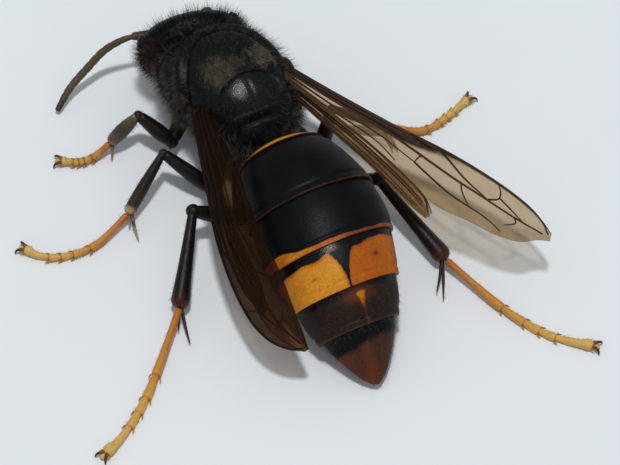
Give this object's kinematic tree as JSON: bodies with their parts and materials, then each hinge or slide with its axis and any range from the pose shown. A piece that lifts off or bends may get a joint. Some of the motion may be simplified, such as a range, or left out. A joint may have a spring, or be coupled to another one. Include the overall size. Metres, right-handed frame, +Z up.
{
  "type": "yellow-legged asian hornet",
  "caption": "Still life-size model of a yellow-legged hornet standing with half-folded wings, body parted into head, thorax, gaster, wings, feelers and legs.",
  "frame": {"origin": "on the floor, under the middle of the box round the whole insect", "axes": "+Z up, the head towards -Y, the insect's own left side towards +X"},
  "size_m": [0.0298, 0.0306, 0.0077],
  "materials": {
    "shell": "satin dark brown-black chitin with fine hair",
    "banded": "satin chitin, black in front and orange to yellow behind",
    "brown": "satin reddish-brown chitin",
    "eye": "glossy reddish-brown compound eye",
    "feeler": "matt olive-brown chitin",
    "wing": "clear amber-brown membrane with darker veins",
    "leg": "satin dark brown chitin",
    "foot": "satin yellow chitin with orange joints"
  },
  "bodies": {
    "root": {"pronotum": "shell", "mesothorax": "shell", "scutellum": "shell", "propodeum": "shell", "head": "shell", "eye_right": "eye", "eye_left": "eye", "mandible_right": "brown", "mandible_left": "brown", "scape_left": "feeler", "flagellum_left": "feeler", "scape_right": "feeler", "flagellum_right": "feeler", "gaster_1": "banded", "gaster_2": "shell", "gaster_3": "banded", "gaster_4": "banded", "gaster_5": "shell", "gaster_6": "brown", "tegula_left": "brown", "forewing_left": "wing", "hindwing_left": "wing", "tegula_right": "brown", "forewing_right": "wing", "hindwing_right": "wing", "fore_left_coxa": "shell", "fore_left_femur": "leg", "fore_left_tibia": "leg", "fore_left_tarsus": "foot", "fore_right_coxa": "shell", "fore_right_femur": "leg", "fore_right_tibia": "leg", "fore_right_tarsus": "foot", "mid_left_coxa": "shell", "mid_left_femur": "leg", "mid_left_tibia": "leg", "mid_left_tarsus": "foot", "mid_right_coxa": "shell", "mid_right_femur": "leg", "mid_right_tibia": "leg", "mid_right_tarsus": "foot", "hind_left_coxa": "shell", "hind_left_femur": "leg", "hind_left_tibia": "leg", "hind_left_tarsus": "foot", "hind_right_coxa": "shell", "hind_right_femur": "leg", "hind_right_tibia": "leg", "hind_right_tarsus": "foot"}
  },
  "joints": []
}
